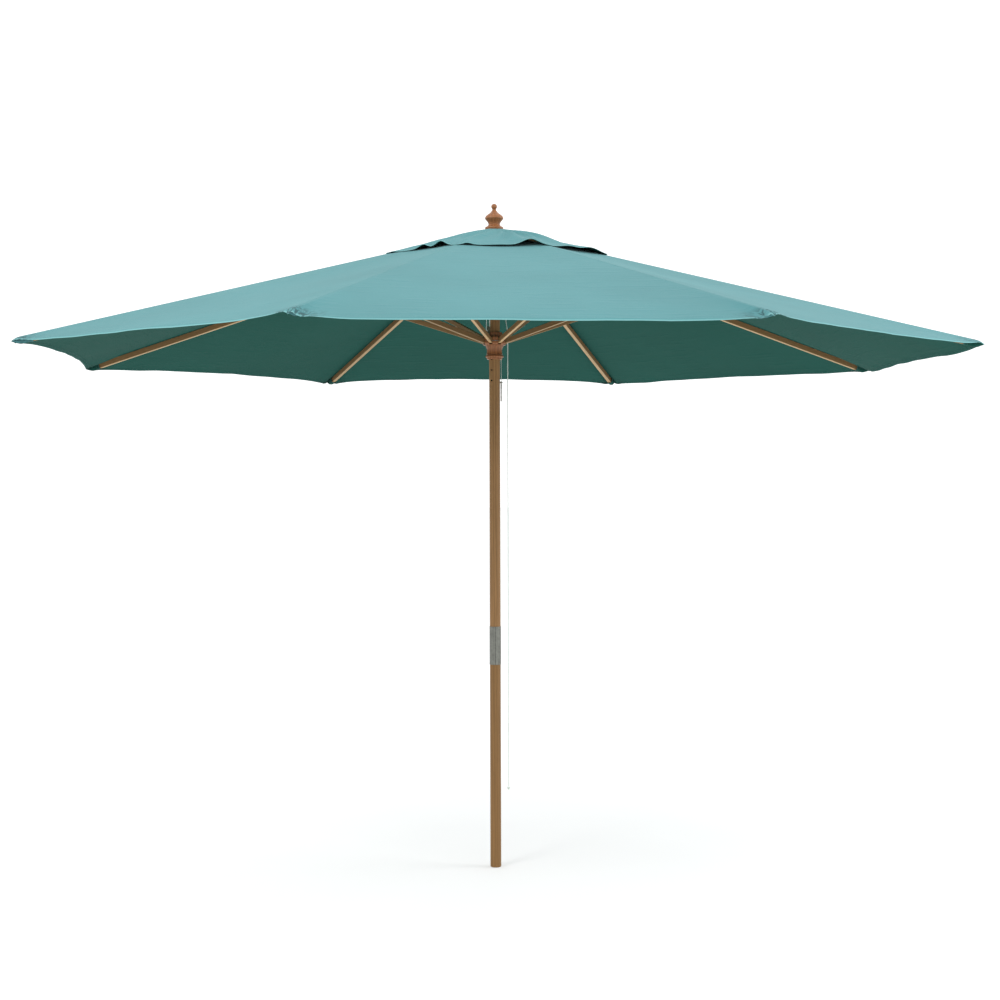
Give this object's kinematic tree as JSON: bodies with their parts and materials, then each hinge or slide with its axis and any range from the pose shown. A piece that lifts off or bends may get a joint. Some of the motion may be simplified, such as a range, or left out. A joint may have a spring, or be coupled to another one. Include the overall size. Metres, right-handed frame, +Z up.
{
  "type": "market umbrella",
  "caption": "Wooden garden parasol with a teal octagonal canopy, vent cap, turned finial, folding ribs and struts, a sliding runner, rope pulley and two-piece pole.",
  "frame": {"origin": "centre of the pole's foot, on its bottom face", "axes": "+Z up along the pole; -Y is the middle of the front canopy panel"},
  "size_m": [3.2336, 3.2336, 2.47],
  "materials": {
    "canopy_cloth": "woven teal polyester canvas, matt",
    "pole_wood": "brown stained hardwood, satin varnish",
    "lower_pole_wood": "paler stained hardwood, satin varnish",
    "frame_wood": "light brown hardwood, satin varnish",
    "turned_wood": "reddish turned hardwood, satin varnish",
    "steel": "brushed",
    "pulley_brass": "dull aged metal",
    "cord": "braided polyester cord"
  },
  "bodies": {
    "lower_pole": {"lower_pole": "lower_pole_wood", "pole_ferrule": "steel", "ferrule_screw": "steel"},
    "upper_pole": {"upper_pole": "pole_wood", "hub": "turned_wood", "hub_ring": "steel", "hub_pulley_axle": "steel", "finial": "turned_wood", "finial_stud": "steel", "vent_canopy": "canopy_cloth", "pull_cord": "cord", "pull_cord_knot": "cord"},
    "hub_wheel": {"hub_pulley_wheel": "pulley_brass"},
    "rib_1": {"rib_1": "frame_wood", "strut_hinge_1": "steel", "canopy_section_1": "canopy_cloth"},
    "strut_1": {"strut_1": "frame_wood"},
    "rib_2": {"rib_2": "frame_wood", "strut_hinge_2": "steel", "canopy_section_2": "canopy_cloth"},
    "strut_2": {"strut_2": "frame_wood"},
    "rib_3": {"rib_3": "frame_wood", "strut_hinge_3": "steel", "canopy_section_3": "canopy_cloth"},
    "strut_3": {"strut_3": "frame_wood"},
    "rib_4": {"rib_4": "frame_wood", "strut_hinge_4": "steel", "canopy_section_4": "canopy_cloth"},
    "strut_4": {"strut_4": "frame_wood"},
    "rib_5": {"rib_5": "frame_wood", "strut_hinge_5": "steel", "canopy_section_5": "canopy_cloth"},
    "strut_5": {"strut_5": "frame_wood"},
    "rib_6": {"rib_6": "frame_wood", "strut_hinge_6": "steel", "canopy_section_6": "canopy_cloth"},
    "strut_6": {"strut_6": "frame_wood"},
    "rib_7": {"rib_7": "frame_wood", "strut_hinge_7": "steel", "canopy_section_7": "canopy_cloth"},
    "strut_7": {"strut_7": "frame_wood"},
    "rib_8": {"rib_8": "frame_wood", "strut_hinge_8": "steel", "canopy_section_8": "canopy_cloth"},
    "strut_8": {"strut_8": "frame_wood"},
    "runner": {"runner": "turned_wood", "runner_ring": "steel", "runner_pulley_block": "pulley_brass", "runner_pulley_pin": "steel", "tether_eye": "steel"},
    "runner_wheel": {"runner_pulley_wheel": "pulley_brass"},
    "lift_cord": {"lift_cord": "cord"},
    "lock_pin": {"lock_pin": "steel", "lock_pin_tether": "cord"}
  },
  "joints": [
    {"name": "pole_joint", "type": "slide", "parent": "lower_pole", "child": "upper_pole", "axis": [0, 0, 1], "range_m": [0, 0.07]},
    {"name": "canopy_fold", "type": "hinge", "parent": "upper_pole", "child": "rib_1", "pos_m": [0.01607, -0.0388, 2.349], "axis": [0.9239, 0.3827, 0], "range_deg": [0, 72.05], "deforming": ["canopy_section_1", "canopy_section_2", "canopy_section_3", "canopy_section_4", "canopy_section_5", "canopy_section_6", "canopy_section_7", "canopy_section_8", "vent_canopy"]},
    {"name": "rib_2_fold", "type": "hinge", "parent": "upper_pole", "child": "rib_2", "pos_m": [0.0388, -0.01607, 2.349], "axis": [0.3827, 0.9239, 0], "range_deg": [0, 72.05]},
    {"name": "rib_3_fold", "type": "hinge", "parent": "upper_pole", "child": "rib_3", "pos_m": [0.0388, 0.01607, 2.349], "axis": [-0.3827, 0.9239, 0], "range_deg": [0, 72.05]},
    {"name": "rib_4_fold", "type": "hinge", "parent": "upper_pole", "child": "rib_4", "pos_m": [0.01607, 0.0388, 2.349], "axis": [-0.9239, 0.3827, 0], "range_deg": [0, 72.05]},
    {"name": "rib_5_fold", "type": "hinge", "parent": "upper_pole", "child": "rib_5", "pos_m": [-0.01607, 0.0388, 2.349], "axis": [-0.9239, -0.3827, 0], "range_deg": [0, 72.05]},
    {"name": "rib_6_fold", "type": "hinge", "parent": "upper_pole", "child": "rib_6", "pos_m": [-0.0388, 0.01607, 2.349], "axis": [-0.3827, -0.9239, 0], "range_deg": [0, 72.05]},
    {"name": "rib_7_fold", "type": "hinge", "parent": "upper_pole", "child": "rib_7", "pos_m": [-0.0388, -0.01607, 2.349], "axis": [0.3827, -0.9239, 0], "range_deg": [0, 72.05]},
    {"name": "rib_8_fold", "type": "hinge", "parent": "upper_pole", "child": "rib_8", "pos_m": [-0.01607, -0.0388, 2.349], "axis": [0.9239, -0.3827, 0], "range_deg": [0, 72.05]},
    {"name": "strut_1_fold", "type": "hinge", "parent": "rib_1", "child": "strut_1", "pos_m": [0.24964, -0.60268, 2.15395], "axis": [0.9239, 0.3827, 0], "range_deg": [-144.1, 0]},
    {"name": "strut_2_fold", "type": "hinge", "parent": "rib_2", "child": "strut_2", "pos_m": [0.60268, -0.24964, 2.15395], "axis": [0.3827, 0.9239, 0], "range_deg": [-144.1, 0]},
    {"name": "strut_3_fold", "type": "hinge", "parent": "rib_3", "child": "strut_3", "pos_m": [0.60268, 0.24964, 2.15395], "axis": [-0.3827, 0.9239, 0], "range_deg": [-144.1, 0]},
    {"name": "strut_4_fold", "type": "hinge", "parent": "rib_4", "child": "strut_4", "pos_m": [0.24964, 0.60268, 2.15395], "axis": [-0.9239, 0.3827, 0], "range_deg": [-144.1, 0]},
    {"name": "strut_5_fold", "type": "hinge", "parent": "rib_5", "child": "strut_5", "pos_m": [-0.24964, 0.60268, 2.15395], "axis": [-0.9239, -0.3827, 0], "range_deg": [-144.1, 0]},
    {"name": "strut_6_fold", "type": "hinge", "parent": "rib_6", "child": "strut_6", "pos_m": [-0.60268, 0.24964, 2.15395], "axis": [-0.3827, -0.9239, 0], "range_deg": [-144.1, 0]},
    {"name": "strut_7_fold", "type": "hinge", "parent": "rib_7", "child": "strut_7", "pos_m": [-0.60268, -0.24964, 2.15395], "axis": [0.3827, -0.9239, 0], "range_deg": [-144.1, 0]},
    {"name": "strut_8_fold", "type": "hinge", "parent": "rib_8", "child": "strut_8", "pos_m": [-0.24964, -0.60268, 2.15395], "axis": [0.9239, -0.3827, 0], "range_deg": [-144.1, 0]},
    {"name": "runner_guide", "type": "hinge", "parent": "strut_1", "child": "runner", "pos_m": [0.01607, -0.0388, 1.95889], "axis": [0.9239, 0.3827, 0], "range_deg": [0, 72.05]},
    {"name": "lift_cord_feed", "type": "slide", "parent": "runner", "child": "lift_cord", "axis": [0, 0, 1], "range_m": [0, 0.8919], "deforming": ["lift_cord"]},
    {"name": "hub_wheel_spin", "type": "hinge", "parent": "upper_pole", "child": "hub_wheel", "pos_m": [0, 0, 2.3105], "axis": [0.7071, -0.7071, 0], "continuous": true},
    {"name": "runner_wheel_spin", "type": "hinge", "parent": "runner", "child": "runner_wheel", "pos_m": [-0.02546, -0.02546, 2.00389], "axis": [0.7071, -0.7071, 0], "continuous": true},
    {"name": "lock_pin_swing", "type": "hinge", "parent": "runner", "child": "lock_pin", "pos_m": [0.02687, 0.02687, 1.903], "axis": [0.7071, -0.7071, 0], "range_deg": [-4, 30]}
  ],
  "couplings": [
    {"joint": "rib_2_fold", "follows": "canopy_fold", "ratio": 1},
    {"joint": "rib_3_fold", "follows": "canopy_fold", "ratio": 1},
    {"joint": "rib_4_fold", "follows": "canopy_fold", "ratio": 1},
    {"joint": "rib_5_fold", "follows": "canopy_fold", "ratio": 1},
    {"joint": "rib_6_fold", "follows": "canopy_fold", "ratio": 1},
    {"joint": "rib_7_fold", "follows": "canopy_fold", "ratio": 1},
    {"joint": "rib_8_fold", "follows": "canopy_fold", "ratio": 1},
    {"joint": "strut_1_fold", "follows": "canopy_fold", "ratio": -2},
    {"joint": "strut_2_fold", "follows": "canopy_fold", "ratio": -2},
    {"joint": "strut_3_fold", "follows": "canopy_fold", "ratio": -2},
    {"joint": "strut_4_fold", "follows": "canopy_fold", "ratio": -2},
    {"joint": "strut_5_fold", "follows": "canopy_fold", "ratio": -2},
    {"joint": "strut_6_fold", "follows": "canopy_fold", "ratio": -2},
    {"joint": "strut_7_fold", "follows": "canopy_fold", "ratio": -2},
    {"joint": "strut_8_fold", "follows": "canopy_fold", "ratio": -2},
    {"joint": "runner_guide", "follows": "canopy_fold", "ratio": 1},
    {"joint": "lift_cord_feed", "follows": "canopy_fold", "m_per_rad": 0.70884}
  ]
}
